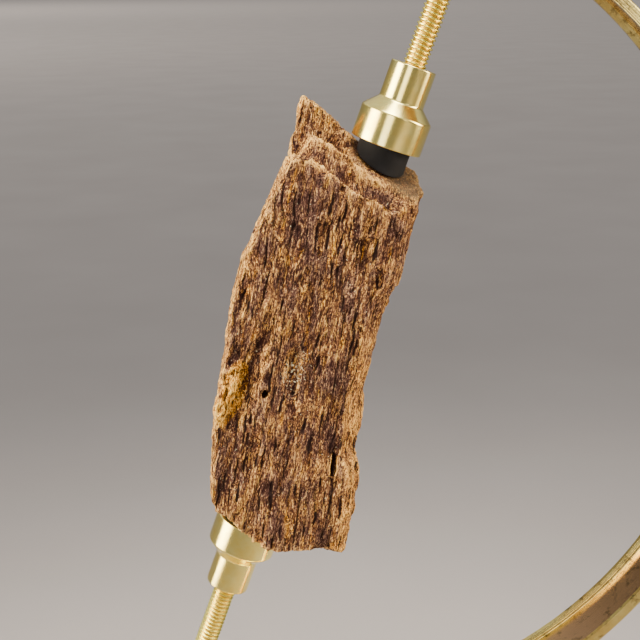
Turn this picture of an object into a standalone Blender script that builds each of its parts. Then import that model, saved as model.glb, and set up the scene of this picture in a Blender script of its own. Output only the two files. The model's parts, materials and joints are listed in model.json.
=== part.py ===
"""Fossil bone fragment gripped between two screw clamps in a tilted brass arc stand.

Everything above the stem is laid out in the clamp frame: its origin is the centre of the
arc, its Z runs up the clamp screws and its X points at the middle of the arc. One empty
tilts and lifts that frame. Sizes are millimetres times MM.
"""
import math

import bmesh
import bpy
from mathutils import Matrix, Vector, noise

MM = 0.001
GAP = 0.3 * MM                  # air left between pieces that touch
WELD = 0.002 * MM

# ---- stand ----
TILT = math.radians(20.0)       # lean of the clamp axis, top towards +X
CENTRE_HEIGHT = 130.0 * MM      # centre of the arc above the table
ARC_RADIUS = 79.2 * MM          # inner face of the web
WEB_THICKNESS = 0.8 * MM
ARC_WIDTH = 12.7 * MM
LIP_HEIGHT = 1.2 * MM
LIP_THICKNESS = 1.1 * MM
EDGE_ROUND = 0.3 * MM
ARC_OVERRUN = math.radians(6.0)  # the arc runs this far past each clamp screw
ARC_STEPS = 44
BASE_RADIUS = 50.0 * MM
STEM_RADIUS = 3.6 * MM
STEM_HEAD_RADIUS = 6.0 * MM
COLLAR_RADIUS = 8.0 * MM
COLLAR_TOP = 17.0 * MM
SPIGOT_RADIUS = 3.0 * MM        # lower end of the stem, sunk in the base
SPIGOT_LENGTH = 9.0 * MM
BOLT_RADIUS = 1.5 * MM
BOLT_LENGTH = 8.0 * MM
BOLT_HEAD = 2.2 * MM
BOLT_HEAD_RADIUS = 3.4 * MM
FELT_RADIUS = 46.0 * MM
FELT_THICKNESS = 1.2 * MM
FELT_RECESS = 0.6 * MM

# ---- clamps ----
ROD_RADIUS = 2.085 * MM         # number 8 screw thread, outside
FERRULE_RADIUS = 6.3 * MM
FERRULE_NECK = 4.0 * MM
FERRULE_HEAD = 5.6 * MM
FERRULE_CONE = 2.2 * MM
FERRULE_TAIL = 6.4 * MM
FERRULE_BORE_FLOOR = FERRULE_HEAD - 1.0 * MM
PAD_RADIUS = 4.6 * MM
PAD_POCKET = 1.5 * MM
KNOB_RADIUS = 7.0 * MM
KNOB_LENGTH = 8.0 * MM
KNOB_FLUTES = 15
KNOB_FLUTE_DEPTH = 0.5 * MM
KNOB_BORE = 4.8 * MM            # length of the screw's end inside the knob
KNOB_REACH = 60.6 * MM          # ferrule face to knob, along the screw
BOSS_RADIUS = 5.0 * MM
BOSS_SPIGOT = 3.5 * MM
BOSS_LENGTH = 7.0 * MM
UPPER_FACE = 38.4 * MM          # upper ferrule face above the arc's centre
LOWER_FACE = 35.7 * MM          # lower ferrule face below it

# ---- bone, in millimetres of the clamp frame ----
LEFT_EDGE = [(-42, -5.5), (-36.4, -7.0), (-33.7, -8.6), (-27, -10.5), (-20, -12.1), (-14, -14.4),
             (-8, -15.3), (-2, -15.8), (5, -17.5), (12, -17.7), (18, -17.6), (22.6, -17.3),
             (24.2, -16.6), (25.6, -15.5), (30, -15.0), (36, -16.2), (40, -17.3), (46, -17.6)]
RIGHT_EDGE = [(-42, 19.4), (-34, 19.0), (-29, 18.3), (-23, 17.0), (-19.0, 15.9), (-17.2, 15.0),
              (-15.6, 13.3), (-10, 12.9), (-3, 11.1), (3.9, 10.3), (8, 9.6), (12.2, 9.4), (17, 10.6),
              (22, 10.0), (27, 9.3), (31, 8.7), (46, 8.2)]
LEDGE_LINE = [(-20, 29.5), (-16, 30.5), (-14.8, 32.4), (-11.8, 33.4), (-7.8, 31.9), (-3.3, 30.2),
              (3.1, 29.7), (9, 30.6)]
RIDGE_LINE = [(-20, 33.0), (-15.1, 34.3), (-13, 36.6), (-6.9, 35.4), (-3.5, 33.9), (2.7, 31.9),
              (5.6, 30.6), (9, 29.6)]
RIM_LINE = [(-20, 40.0), (-16.6, 41.4), (-14.3, 41.3), (-12.2, 40.4), (-9.2, 39.3), (-5.9, 37.7),
            (0, 35.9), (4.4, 34.2), (7.3, 32.2), (9, 30.5)]
FRONT_FOOT_LINE = [(-9, -32.0), (-7.4, -32.5), (-4.6, -33.5), (-2.3, -34.6), (1.8, -36.8),
                   (5.4, -36.7), (7.6, -35.6), (12.2, -34.3), (17.4, -32.7), (20, -32.2)]
GRAIN_LEAN = math.radians(11.0)  # fibres lean this far from the clamp axis, top towards -X
BONE_FRONT = -9.4
BONE_BACK = 8.8
BODY_BOTTOM = -41.0
BODY_TOP = 45.0
BODY_ROWS = 30
SEAT_SLOPE = (-0.16, 0.33)      # rise of the ground seat per mm of x and of y
SEAT_HEIGHT = 35.2
SEAT_RADIUS = 5.3
FOOT_SEAT_HEIGHT = -33.0
GROOVES = [                      # ends (x, z), half width and depth on the front face
    ((-9.4, 1.4), (-10.3, -7.0), 1.1, 1.5),
    ((-10.3, -7.0), (-10.6, -16.8), 1.2, 1.7),
    ((-16.0, 8.7), (-15.4, 3.0), 0.9, 1.2),
    ((-13.9, -2.0), (-13.1, -4.9), 1.0, 1.0),
    ((-3.9, 0.2), (-2.0, -6.4), 0.9, 1.0),
    ((1.5, 21.6), (3.8, 14.4), 1.1, 1.1),
    ((5.2, 18.0), (6.2, 13.6), 0.8, 0.8),
    ((-6.7, 23.0), (-6.0, 17.6), 1.0, 0.8),
    ((4.6, -5.5), (6.4, -13.5), 1.0, 0.7),
    ((-5.7, -17.0), (-4.6, -25.2), 1.0, 0.8),
]
HOLLOWS = [                      # centre (x, z), radius and depth on the front face
    ((-9.5, 1.0), 1.5, 1.5),
    ((-11.0, 31.0), 1.5, 1.3),
    ((-2.2, 29.0), 1.5, 1.4),
    ((-0.7, 23.8), 1.3, 1.0),
]
CRUST = ((-12.4, -10.6), (2.0, 6.4), 0.6)  # centre, half sizes and height of the ochre crust
DRILL_HOLE = (-6.4, -8.4, 0.75, 2.6)     # x, z, radius and depth of the round hole
SLIT = (9.5, -17.4, 0.45, 2.2, 2.0)      # x, z, half width, half length and depth
CHAMFER = 3.5                    # width of the slanting face along the right front edge
END_CUTTER_SIZE = (46.0, 27.0)   # reach across and through the bone of the two broken ends


def clear_scene():
    for obj in list(bpy.data.objects):
        bpy.data.objects.remove(obj, do_unlink=True)


def new_collection(name):
    group = bpy.data.collections.new(name)
    bpy.context.scene.collection.children.link(group)
    return group


def new_material(name, colour, metallic, roughness):
    mat = bpy.data.materials.new(name)
    mat.use_nodes = True
    shader = mat.node_tree.nodes["Principled BSDF"]
    shader.inputs["Base Color"].default_value = (*colour, 1.0)
    shader.inputs["Metallic"].default_value = metallic
    shader.inputs["Roughness"].default_value = roughness
    return mat


def new_object(name, bm, group, mat=None, parent=None):
    """Turn a bmesh into a named object, give it its material and hang it on its parent."""
    mesh = bpy.data.meshes.new(name)
    bm.to_mesh(mesh)
    bm.free()
    obj = bpy.data.objects.new(name, mesh)
    group.objects.link(obj)
    obj.parent = parent
    if mat:
        mesh.materials.append(mat)
    return obj


def new_empty(name, group, location, rotation, parent=None):
    empty = bpy.data.objects.new(name, None)
    empty.empty_display_size = 10.0 * MM
    empty.location = location
    empty.rotation_euler = rotation
    empty.parent = parent
    group.objects.link(empty)
    return empty


def turned(name, profile, steps, group, mat=None, parent=None, bored=False):
    """Spin a profile of (radius, z) points about Z; it runs top to bottom down the outside."""
    bm = bmesh.new()
    points = [bm.verts.new((radius, 0.0, z)) for radius, z in profile]
    for upper, lower in zip(points, points[1:]):
        bm.edges.new((upper, lower))
    if bored:
        bm.edges.new((points[-1], points[0]))
    obj = new_object(name, bm, group, mat, parent)
    screw = obj.modifiers.new("Turn", 'SCREW')
    screw.axis = 'Z'
    screw.steps = steps
    screw.render_steps = steps
    screw.use_merge_vertices = True
    screw.merge_threshold = WELD
    screw.use_smooth_shade = False
    return obj


def cylinder(name, radius, depth, matrix, group, steps=32):
    bm = bmesh.new()
    bmesh.ops.create_cone(bm, cap_ends=True, segments=steps, radius1=radius, radius2=radius,
                          depth=depth, matrix=matrix)
    return new_object(name, bm, group)


def box(name, size, matrix, group):
    bm = bmesh.new()
    bmesh.ops.create_cube(bm, size=1.0, matrix=matrix @ Matrix.Diagonal((*size, 1.0)))
    return new_object(name, bm, group)


def combine(obj, other, operation='DIFFERENCE'):
    """Cut obj with a guide object, or keep what both share."""
    cut = obj.modifiers.new(other.name, 'BOOLEAN')
    cut.operation = operation
    cut.solver = 'EXACT'
    cut.object = other
    other.parent = other.parent or obj.parent
    other.hide_render = True
    other.display_type = 'WIRE'


def along(points, where):
    """Height of a polyline of (position, value) points, held level past both ends."""
    for (start, low), (end, high) in zip(points, points[1:]):
        if where <= end:
            share = max(0.0, (where - start) / (end - start))
            return low + (high - low) * share
    return points[-1][1]


def step_up(value, start, end):
    share = min(1.0, max(0.0, (value - start) / (end - start)))
    return share * share * (3.0 - 2.0 * share)


# ---- bone -------------------------------------------------------------------------------

def grain_noise(x, y, z, width, length):
    """Noise drawn out along the fibres, about -1 to 1."""
    across = x * math.cos(GRAIN_LEAN) + z * math.sin(GRAIN_LEAN)
    up = z * math.cos(GRAIN_LEAN) - x * math.sin(GRAIN_LEAN)
    return noise.noise(Vector((across / width, y / width, up / length)))


def section_corners(z):
    """Corners of the bone's section at a height, each with its count of columns to the next."""
    left = along(LEFT_EDGE, z)
    right = along(RIGHT_EDGE, z)
    middle = 0.5 * (left + right)
    tuck = 3.4 - 2.4 * step_up(z, 26.0, 35.0)
    return [
        ((left + 0.7, BONE_FRONT + 0.5), 11),
        ((middle, BONE_FRONT), 11),
        ((right - CHAMFER, BONE_FRONT + 0.6), 6),
        ((right, -1.6), 6),
        ((right - 2.2, BONE_BACK - 1.8), 7),
        ((middle + 1.0, BONE_BACK), 7),
        ((left + tuck, BONE_BACK - 1.6), 5),
        ((left, -5.0), 3),
    ]


def section_point(column, z):
    """Point of the section outline and its outward direction, for one column."""
    corners = section_corners(z)
    for index, ((x0, y0), count) in enumerate(corners):
        if column < count:
            x1, y1 = corners[(index + 1) % len(corners)][0]
            share = column / count
            outward = Vector((y1 - y0, x0 - x1)).normalized()
            return Vector((x0 + (x1 - x0) * share, y0 + (y1 - y0) * share)), outward
        column -= count
    raise ValueError("column outside the section")


def groove_depth(x, z):
    """Depth of the grooves and hollows at a place on the front face."""
    depth = 0.0
    for start, end, half_width, deep in GROOVES:
        run = Vector(end) - Vector(start)
        offset = Vector((x, z)) - Vector(start)
        share = min(1.0, max(0.0, offset.dot(run) / run.length_squared))
        away = (offset - run * share).length
        depth = max(depth, deep * (1.0 - step_up(away, 0.4 * half_width, 1.6 * half_width)))
    for centre, radius, deep in HOLLOWS:
        away = (Vector((x, z)) - Vector(centre)).length
        depth = max(depth, deep * (1.0 - step_up(away, 0.3 * radius, 1.4 * radius)))
    return depth


def bone_side_point(column, z):
    """Outline point moved out and in by the fibrous ridges, the knobs and the grooves."""
    point, outward = section_point(column, z)
    x, y = point
    relief = 0.75 * grain_noise(x, y, z, 2.6, 17.0)
    relief += 0.55 * grain_noise(x + 40.0, y, z, 5.5, 9.0)
    relief += 0.22 * noise.noise(Vector((x, y, z)) * 0.55)
    if outward.y < -0.6:
        relief -= groove_depth(x, z)
        centre, half_size, height = CRUST
        away = math.hypot((x - centre[0]) / half_size[0], (z - centre[1]) / half_size[1])
        relief += height * (1.0 - step_up(away, 0.6, 1.2))
    else:
        relief *= 1.15
    return Vector((x + outward.x * relief, y + outward.y * relief, z)) * MM


def bone_body(group, parent):
    """Tube of sections a little longer than the bone: a grid wrapped round, seam welded."""
    columns = sum(count for _, count in section_corners(0.0))
    bm = bmesh.new()
    bmesh.ops.create_grid(bm, x_segments=columns, y_segments=BODY_ROWS, size=0.5)
    for vert in bm.verts:
        column = round((vert.co.x + 0.5) * columns) % columns
        row = round((vert.co.y + 0.5) * BODY_ROWS)
        z = BODY_BOTTOM + (BODY_TOP - BODY_BOTTOM) * row / BODY_ROWS
        vert.co = bone_side_point(column, z)
    bmesh.ops.remove_doubles(bm, verts=bm.verts, dist=WELD)
    bmesh.ops.holes_fill(bm, edges=bm.edges, sides=0)
    bmesh.ops.recalc_face_normals(bm, faces=bm.faces)
    return new_object("fossil_bone", bm, group, parent=parent)


def top_height(x, y):
    """Broken top: three tiers that step up from the front, with a ground seat for the pad."""
    ledge = along(LEDGE_LINE, x)
    ridge = along(RIDGE_LINE, x)
    rim = along(RIM_LINE, x)
    z = ledge + (ridge - ledge) * step_up(y, -7.4, -5.6) + (rim - ridge) * step_up(y, 0.2, 2.6)
    z -= 0.7 * step_up(y, -9.0, -8.0) * (1.0 - step_up(y, -7.4, -6.6))
    z -= 1.5 * step_up(y, -4.8, -3.4) * (1.0 - step_up(y, -1.6, 0.6))
    z -= 2.4 * step_up(y, 5.5, 9.5)
    z += 0.45 * noise.noise(Vector((x * 0.5, y * 0.5, 7.0))) * (2.0 - step_up(x, -8.0, 0.0))
    seat = SEAT_HEIGHT + SEAT_SLOPE[0] * x + SEAT_SLOPE[1] * y
    near = 1.0 - step_up(math.hypot(x, y), SEAT_RADIUS, SEAT_RADIUS + 1.5)
    return z + (seat - z) * near


def foot_height(x, y):
    """Broken foot: level under the lower pad, hanging lower along the front."""
    front = along(FRONT_FOOT_LINE, x)
    z = FOOT_SEAT_HEIGHT + (front - FOOT_SEAT_HEIGHT) * (1.0 - step_up(y, -8.6, -6.2))
    z += 1.2 * step_up(y, 4.0, 9.0) - 3.0 * step_up(x, 8.5, 14.5) * step_up(y, -9.5, -2.5)
    rough = 0.5 * noise.noise(Vector((x * 0.4, y * 0.4, -3.0)))
    return z + rough * step_up(math.hypot(x, y), SEAT_RADIUS, SEAT_RADIUS + 1.5)


def end_cutter(name, height, reach, cells, group, parent):
    """Block whose near face is a broken surface and whose far face is flat."""
    width, depth = END_CUTTER_SIZE
    bm = bmesh.new()
    bmesh.ops.create_grid(bm, x_segments=cells[0], y_segments=cells[1], size=0.5)
    for vert in bm.verts:
        x = 1.0 + vert.co.x * width
        y = -0.4 + vert.co.y * depth
        vert.co = Vector((x, y, height(x, y))) * MM
    result = bmesh.ops.extrude_face_region(bm, geom=list(bm.faces))
    for item in result["geom"]:
        if isinstance(item, bmesh.types.BMVert):
            item.co.z = reach * MM
    bmesh.ops.recalc_face_normals(bm, faces=bm.faces)
    return new_object(name, bm, group, parent=parent)


def build_bone(parts, cutters, frame, mat):
    bone = bone_body(parts, frame)
    bone.data.materials.append(mat)
    combine(bone, end_cutter("cut_bone_top", top_height, 60.0, (23, 21), cutters, frame))
    combine(bone, end_cutter("cut_bone_foot", foot_height, -60.0, (20, 15), cutters, frame))
    x, z, radius, deep = DRILL_HOLE
    into_face = Matrix.Rotation(math.radians(90.0), 4, 'X')
    place = Matrix.Translation(Vector((x, BONE_FRONT, z)) * MM) @ into_face
    combine(bone, cylinder("cut_bone_hole", radius * MM, 2.0 * deep * MM, place, cutters, 12))
    x, z, half_width, half_length, deep = SLIT
    place = Matrix.Translation(Vector((x, BONE_FRONT, z)) * MM) @ Matrix.Rotation(-GRAIN_LEAN, 4, 'Y')
    size = (2.0 * half_width * MM, 2.0 * deep * MM, 2.0 * half_length * MM)
    combine(bone, box("cut_bone_slit", size, place, cutters))


# ---- clamps -----------------------------------------------------------------------------

def build_ferrule(side, parts, cutters, parent, mat):
    """Stepped brass end of a clamp: face at z = 0, neck upwards, pad pocket and screw bore."""
    top = FERRULE_HEAD + FERRULE_CONE + FERRULE_TAIL
    ferrule = turned(f"{side}_ferrule", [
        (0.0, top), (FERRULE_NECK - 0.3 * MM, top), (FERRULE_NECK, top - 0.3 * MM),
        (FERRULE_NECK, FERRULE_HEAD + FERRULE_CONE), (FERRULE_RADIUS, FERRULE_HEAD),
        (FERRULE_RADIUS, 0.2 * MM), (FERRULE_RADIUS - 0.2 * MM, 0.0),
        (PAD_RADIUS + GAP, 0.0), (PAD_RADIUS + GAP, PAD_POCKET + GAP), (0.0, PAD_POCKET + GAP),
    ], 20, parts, mat, parent)
    bore_top = top + 1.0 * MM
    place = Matrix.Translation((0.0, 0.0, 0.5 * (bore_top + FERRULE_BORE_FLOOR)))
    combine(ferrule, cylinder(f"cut_{side}_ferrule", ROD_RADIUS + GAP,
                              bore_top - FERRULE_BORE_FLOOR, place, cutters, 16))


def build_rod(side, parts, parent, mat):
    start = FERRULE_BORE_FLOOR + GAP
    end = KNOB_REACH + KNOB_BORE
    turned(f"{side}_clamp_screw", [
        (0.0, end), (ROD_RADIUS - 0.4 * MM, end), (ROD_RADIUS, end - 0.4 * MM),
        (ROD_RADIUS, start + 0.4 * MM), (ROD_RADIUS - 0.4 * MM, start), (0.0, start),
    ], 16, parts, mat, parent)


def build_knob(side, parts, cutters, parent, mat):
    """Fluted thumb knob with a domed end, bored for the end of the screw."""
    low = KNOB_REACH
    high = KNOB_REACH + KNOB_LENGTH
    knob = turned(f"{side}_knob", [
        (0.0, high), (0.62 * KNOB_RADIUS, high - 0.1 * MM), (0.9 * KNOB_RADIUS, high - 0.5 * MM),
        (KNOB_RADIUS, high - 1.2 * MM), (KNOB_RADIUS, low + 0.4 * MM),
        (KNOB_RADIUS - 0.5 * MM, low), (0.0, low),
    ], 2 * KNOB_FLUTES, parts, mat, parent)
    bm = bmesh.new()
    place = Matrix.Translation((0.0, 0.0, 0.5 * (low + high)))
    bmesh.ops.create_cone(bm, cap_ends=True, segments=2 * KNOB_FLUTES, radius1=KNOB_RADIUS + 0.05 * MM,
                          radius2=KNOB_RADIUS + 0.05 * MM, depth=1.5 * KNOB_LENGTH, matrix=place)
    for vert in bm.verts:
        turn = math.atan2(vert.co.y, vert.co.x) * KNOB_FLUTES / math.pi
        if round(turn) % 2:
            vert.co.xy *= 1.0 - KNOB_FLUTE_DEPTH / KNOB_RADIUS
    combine(knob, new_object(f"shape_{side}_knob", bm, cutters, parent=parent), 'INTERSECT')
    bore = Matrix.Translation((0.0, 0.0, low))
    depth = 2.0 * (KNOB_BORE + GAP)
    combine(knob, cylinder(f"cut_{side}_knob", ROD_RADIUS + GAP, depth, bore, cutters, 16))


def build_pad(side, parts, parent, mat, thickness):
    return turned(f"{side}_pad", [
        (0.0, PAD_POCKET), (PAD_RADIUS, PAD_POCKET), (PAD_RADIUS, -thickness), (0.0, -thickness),
    ], 24, parts, mat, parent)


def seat_matrix():
    """Matrix on the sloping seat, clear of it by the gap, with Z along the seat's normal."""
    normal = Vector((-SEAT_SLOPE[0], -SEAT_SLOPE[1], 1.0)).normalized()
    point = Vector((0.0, 0.0, SEAT_HEIGHT * MM + GAP / normal.z))
    return Matrix.Translation(point) @ normal.to_track_quat('Z', 'Y').to_matrix().to_4x4()


def build_clamps(parts, cutters, frame, brass, rubber):
    upper = new_empty("upper_clamp_slide", parts, (0.0, 0.0, UPPER_FACE), (0.0, 0.0, 0.0), frame)
    lower = new_empty("lower_clamp_slide", parts, (0.0, 0.0, -LOWER_FACE), (math.pi, 0.0, 0.0), frame)
    for side, parent in (("upper", upper), ("lower", lower)):
        build_ferrule(side, parts, cutters, parent, brass)
        build_rod(side, parts, parent, brass)
        build_knob(side, parts, cutters, parent, brass)
    build_pad("lower", parts, lower, rubber, LOWER_FACE + FOOT_SEAT_HEIGHT * MM - GAP)
    pad = build_pad("upper", parts, upper, rubber, UPPER_FACE - (SEAT_HEIGHT - 5.0) * MM)
    size = (30.0 * MM, 30.0 * MM, 12.0 * MM)
    below = Matrix.Translation((0.0, 0.0, -UPPER_FACE)) @ seat_matrix()
    below = below @ Matrix.Translation((0.0, 0.0, -0.5 * size[2]))
    combine(pad, box("cut_upper_pad", size, below, cutters))


# ---- arc and stand ----------------------------------------------------------------------

def arc_section():
    """Channel section as (radius, y): a web with a small lip along each edge, facing in."""
    half = 0.5 * ARC_WIDTH
    outside = ARC_RADIUS + WEB_THICKNESS
    lip = ARC_RADIUS - LIP_HEIGHT
    side = [
        (outside, half - EDGE_ROUND), (outside - EDGE_ROUND, half), (lip, half),
        (lip, half - LIP_THICKNESS + 0.2 * MM),
        (ARC_RADIUS, half - LIP_THICKNESS - 0.2 * MM),
    ]
    return side + [(radius, -y) for radius, y in reversed(side)]


def pole(sign, radius):
    """Place on the clamp axis where the upper (1) or lower (-1) screw goes through the arc."""
    return Matrix.Translation((0.0, 0.0, sign * radius))


def build_arc(parts, cutters, frame, mat):
    start = math.pi / 2.0 + ARC_OVERRUN
    bm = bmesh.new()
    section = [bm.verts.new((radius * math.cos(start), y, radius * math.sin(start)))
               for radius, y in arc_section()]
    bm.faces.new(section)
    bmesh.ops.spin(bm, geom=bm.verts[:] + bm.edges[:] + bm.faces[:], cent=(0.0, 0.0, 0.0),
                   axis=(0.0, 1.0, 0.0), angle=2.0 * start, steps=ARC_STEPS)
    bmesh.ops.recalc_face_normals(bm, faces=bm.faces)
    arc = new_object("brass_arc", bm, parts, mat, frame)
    for side, sign in (("upper", 1.0), ("lower", -1.0)):
        trim_size = (20.0 * MM, 2.0 * ARC_WIDTH, 12.0 * MM)
        place = pole(sign, ARC_RADIUS) @ Matrix.Translation((-0.5 * trim_size[0], 0.0, 0.0))
        trim = box(f"cut_arc_{side}_end", trim_size, place, cutters)
        trim.parent = frame
        combine(trim, cylinder(f"keep_arc_{side}_end", 0.5 * ARC_WIDTH, 20.0 * MM,
                               pole(sign, ARC_RADIUS), cutters, 28))
        combine(arc, trim)
        combine(arc, cylinder(f"cut_arc_{side}_hole", BOSS_SPIGOT + GAP, 12.0 * MM,
                              pole(sign, ARC_RADIUS), cutters, 20))
    down = Matrix.Rotation(-TILT, 4, 'Y') @ Matrix.Translation((0.0, 0.0, -ARC_RADIUS))
    combine(arc, cylinder("cut_arc_bolt_hole", BOLT_RADIUS + GAP, 12.0 * MM, down, cutters, 16))


def build_bosses(parts, frame, mat):
    """Turned guide at each end of the arc, its spigot set in the web."""
    shoulder = ARC_RADIUS + WEB_THICKNESS + GAP
    inside = ARC_RADIUS - LIP_HEIGHT
    bore = ROD_RADIUS + GAP
    profile = [
        (BOSS_RADIUS - 0.4 * MM, shoulder + BOSS_LENGTH), (BOSS_RADIUS, shoulder + BOSS_LENGTH - 0.4 * MM),
        (BOSS_RADIUS, shoulder), (BOSS_SPIGOT, shoulder), (BOSS_SPIGOT, inside), (bore, inside),
        (bore, shoulder + BOSS_LENGTH),
    ]
    for side, turn in (("upper", 0.0), ("lower", math.pi)):
        boss = turned(f"{side}_boss", profile, 18, parts, mat, frame, bored=True)
        boss.rotation_euler.x = turn


def build_stem(parts, cutters, mat):
    """Short turned column with a saddle cut to the arc, and the bolt that holds the arc."""
    saddle = CENTRE_HEIGHT - ARC_RADIUS - WEB_THICKNESS
    neck = STEM_RADIUS
    stem = turned("stem", [
        (0.0, saddle + 2.0 * MM), (STEM_HEAD_RADIUS, saddle + 2.0 * MM),
        (STEM_HEAD_RADIUS, saddle - 4.0 * MM), (STEM_HEAD_RADIUS - 0.8 * MM, saddle - 5.2 * MM),
        (neck, saddle - 7.5 * MM), (neck, COLLAR_TOP + 4.0 * MM), (neck + 1.6 * MM, COLLAR_TOP + 2.2 * MM),
        (neck + 1.6 * MM, COLLAR_TOP + GAP), (SPIGOT_RADIUS, COLLAR_TOP + GAP),
        (SPIGOT_RADIUS, COLLAR_TOP - SPIGOT_LENGTH), (0.0, COLLAR_TOP - SPIGOT_LENGTH),
    ], 20, parts, mat)
    across = Matrix.Translation((0.0, 0.0, CENTRE_HEIGHT)) @ Matrix.Rotation(math.pi / 2.0, 4, 'X')
    combine(stem, cylinder("cut_stem_saddle", ARC_RADIUS + WEB_THICKNESS + GAP, 40.0 * MM, across,
                           cutters, 120))
    place = Matrix.Translation((0.0, 0.0, saddle))
    combine(stem, cylinder("cut_stem_bolt_hole", BOLT_RADIUS + GAP, 2.0 * (BOLT_LENGTH + GAP), place,
                           cutters, 14))
    seat = saddle + WEB_THICKNESS + GAP
    bolt = turned("stem_bolt", [
        (0.0, seat + BOLT_HEAD), (BOLT_HEAD_RADIUS - 0.6 * MM, seat + BOLT_HEAD),
        (BOLT_HEAD_RADIUS, seat + 0.6 * BOLT_HEAD), (BOLT_HEAD_RADIUS, seat),
        (BOLT_RADIUS, seat), (BOLT_RADIUS, saddle - BOLT_LENGTH + GAP), (0.0, saddle - BOLT_LENGTH + GAP),
    ], 16, parts, mat)
    socket = Matrix.Translation((0.0, 0.0, seat + BOLT_HEAD))
    combine(bolt, cylinder("cut_bolt_socket", 1.5 * MM, 2.4 * MM, socket, cutters, 6))


def build_base(parts, cutters, brass, felt):
    """Weighted round foot with a moulded edge, hollowed below for a felt disc."""
    rim = FELT_THICKNESS - FELT_RECESS + GAP
    recess = FELT_THICKNESS + GAP
    base = turned("base", [
        (0.0, COLLAR_TOP), (COLLAR_RADIUS - 0.6 * MM, COLLAR_TOP), (COLLAR_RADIUS, COLLAR_TOP - 0.6 * MM),
        (COLLAR_RADIUS, COLLAR_TOP - 3.4 * MM), (COLLAR_RADIUS + 1.6 * MM, COLLAR_TOP - 4.8 * MM),
        (0.6 * BASE_RADIUS, 10.4 * MM), (BASE_RADIUS - 6.0 * MM, 8.2 * MM),
        (BASE_RADIUS - 5.0 * MM, 6.6 * MM), (BASE_RADIUS - 1.6 * MM, 6.0 * MM), (BASE_RADIUS, 4.4 * MM),
        (BASE_RADIUS, rim + 0.6 * MM), (BASE_RADIUS - 0.6 * MM, rim), (FELT_RADIUS + GAP, rim),
        (FELT_RADIUS + GAP, recess), (0.0, recess),
    ], 32, parts, brass)
    place = Matrix.Translation((0.0, 0.0, COLLAR_TOP))
    combine(base, cylinder("cut_base_bore", SPIGOT_RADIUS + GAP, 2.0 * (SPIGOT_LENGTH + GAP), place,
                           cutters, 16))
    turned("felt_foot", [
        (0.0, FELT_THICKNESS), (FELT_RADIUS, FELT_THICKNESS), (FELT_RADIUS, 0.0), (0.0, 0.0),
    ], 36, parts, felt)


def main():
    clear_scene()
    parts = new_collection("fossil_bone_stand")
    cutters = new_collection("cutters")
    bone = new_material("fossil_bone", (0.147, 0.061, 0.030), 0.0, 0.85)
    brass = new_material("brass", (0.80, 0.60, 0.24), 1.0, 0.22)
    rubber = new_material("black_rubber", (0.012, 0.011, 0.013), 0.0, 0.7)
    felt = new_material("green_felt", (0.010, 0.016, 0.011), 0.0, 0.95)
    frame = new_empty("clamp_frame", parts, (0.0, 0.0, CENTRE_HEIGHT), (0.0, TILT, 0.0))
    build_bone(parts, cutters, frame, bone)
    build_clamps(parts, cutters, frame, brass, rubber)
    build_arc(parts, cutters, frame, brass)
    build_bosses(parts, frame, brass)
    build_stem(parts, cutters, brass)
    build_base(parts, cutters, brass, felt)


main()
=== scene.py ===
import json
import math

import bmesh
import bpy
import numpy as np
from mathutils import Matrix, Vector, noise


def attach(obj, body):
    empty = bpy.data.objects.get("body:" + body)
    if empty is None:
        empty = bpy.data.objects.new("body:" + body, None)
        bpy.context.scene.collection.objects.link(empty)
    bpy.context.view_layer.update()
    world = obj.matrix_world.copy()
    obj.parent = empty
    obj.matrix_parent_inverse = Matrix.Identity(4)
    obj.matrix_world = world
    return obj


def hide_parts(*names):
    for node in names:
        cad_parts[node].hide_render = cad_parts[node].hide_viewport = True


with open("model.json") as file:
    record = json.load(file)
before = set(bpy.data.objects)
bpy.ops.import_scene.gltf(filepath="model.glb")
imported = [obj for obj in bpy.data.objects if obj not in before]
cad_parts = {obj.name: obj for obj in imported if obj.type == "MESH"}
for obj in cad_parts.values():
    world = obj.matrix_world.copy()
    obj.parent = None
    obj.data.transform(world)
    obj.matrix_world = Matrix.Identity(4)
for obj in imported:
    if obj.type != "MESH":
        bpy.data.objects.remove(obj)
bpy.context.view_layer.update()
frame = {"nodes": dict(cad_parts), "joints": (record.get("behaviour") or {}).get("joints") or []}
print("frame loaded:", len(frame["nodes"]), "nodes")

mm = 0.001

# the clamp frame has its origin at the arc's centre and its Z along the clamp screws
clampAxis = Vector(frame["joints"][0]["axis"])
clampTilt = math.atan2(clampAxis.x, clampAxis.z)
layout = {  # mm
    "centreHeight": 130.0,  # arc's centre above the table
    "upperFace": 38.4,  # arc's centre to each ferrule's open face
    "lowerFace": 35.7,
    "air": 0.3,  # between pieces that fit together
}
air = layout["air"]
arcCentre = Matrix.Translation((0.0, 0.0, layout["centreHeight"] * mm))
clampPlace = arcCentre @ Matrix.Rotation(clampTilt, 4, "Y")
turnedOver = Matrix.Rotation(math.pi, 4, "X")
upperPlace = clampPlace @ Matrix.Translation((0.0, 0.0, layout["upperFace"] * mm))
lowerPlace = clampPlace @ turnedOver @ Matrix.Translation((0.0, 0.0, layout["lowerFace"] * mm))

cameraValues = {
    "place": (-9.39, -202.75, 192.80),  # mm
    "turn": (74.083, 0.697, -3.241),  # degrees
    "lens": 65.98,
    "clip": (10.0, 100000.0),  # mm
}


def setCamera():
    values = cameraValues
    data = bpy.data.cameras.new("standCamera")
    data.lens = values["lens"]
    data.clip_start, data.clip_end = [reach * mm for reach in values["clip"]]
    camera = bpy.data.objects.new("standCamera", data)
    camera.location = Vector(values["place"]) * mm
    camera.rotation_euler = [math.radians(angle) for angle in values["turn"]]
    bpy.context.scene.collection.objects.link(camera)
    bpy.context.scene.camera = camera


setCamera()
print("camera set")

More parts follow.
